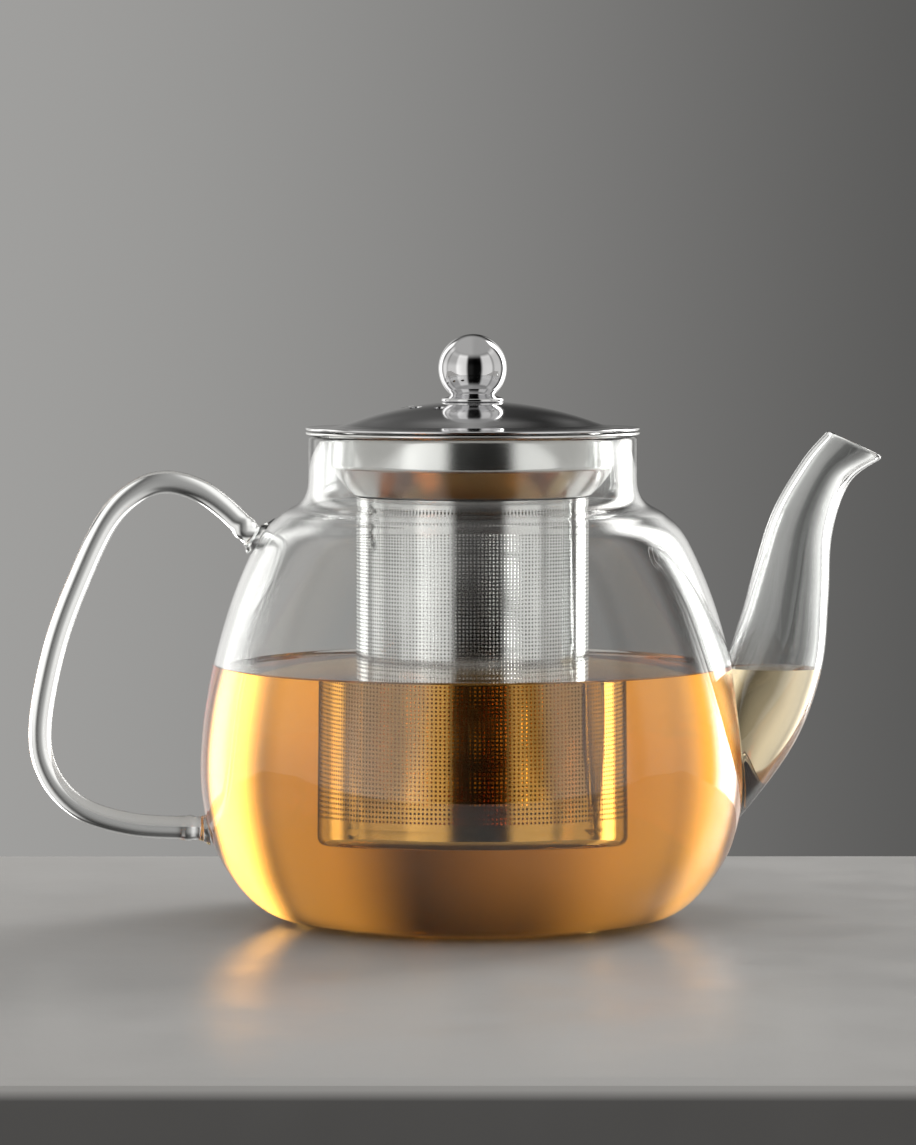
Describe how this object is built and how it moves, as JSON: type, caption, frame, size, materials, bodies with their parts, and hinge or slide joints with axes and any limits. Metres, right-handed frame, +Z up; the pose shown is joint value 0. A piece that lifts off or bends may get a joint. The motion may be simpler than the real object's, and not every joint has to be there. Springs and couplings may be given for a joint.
{
  "type": "teapot infuser",
  "caption": "Clear glass teapot with a bent rod handle and raised spout, a lift-out perforated steel basket and a domed steel lid with a ball knob.",
  "frame": {"origin": "centre of the flat base, on the axis of the pot, where it stands", "axes": "+Z up along the axis of the pot, +X towards the spout, -X towards the handle"},
  "size_m": [0.2041, 0.1304, 0.14],
  "materials": {
    "pot_glass": "clear blown borosilicate glass, fire polished",
    "spout_glass": "clear blown borosilicate glass, fire polished",
    "rod_glass": "clear drawn borosilicate rod, fire polished",
    "polished_steel": "polished stainless sheet",
    "basket_steel": "bright rolled stainless sheet, finely perforated",
    "lid_steel": "mirror polished stainless sheet with faint spun marks",
    "knob_steel": "mirror polished stainless steel",
    "fastener_steel": "plain stainless steel"
  },
  "bodies": {
    "pot": {"glass_body": "pot_glass", "spout": "spout_glass", "handle": "rod_glass"},
    "infuser": {"infuser_collar": "polished_steel", "infuser_wall": "basket_steel", "infuser_base": "basket_steel"},
    "lid": {"lid_shell": "lid_steel", "lid_skirt": "polished_steel", "knob_ball": "knob_steel", "knob_foot": "knob_steel", "screw_washer": "fastener_steel", "knob_screw": "fastener_steel"}
  },
  "joints": [
    {"name": "infuser_lift", "type": "slide", "parent": "pot", "child": "infuser", "axis": [0, 0, 1], "range_m": [0, 0.105]},
    {"name": "lid_lift", "type": "slide", "parent": "infuser", "child": "lid", "axis": [0, 0, 1], "range_m": [0, 0.04]}
  ]
}
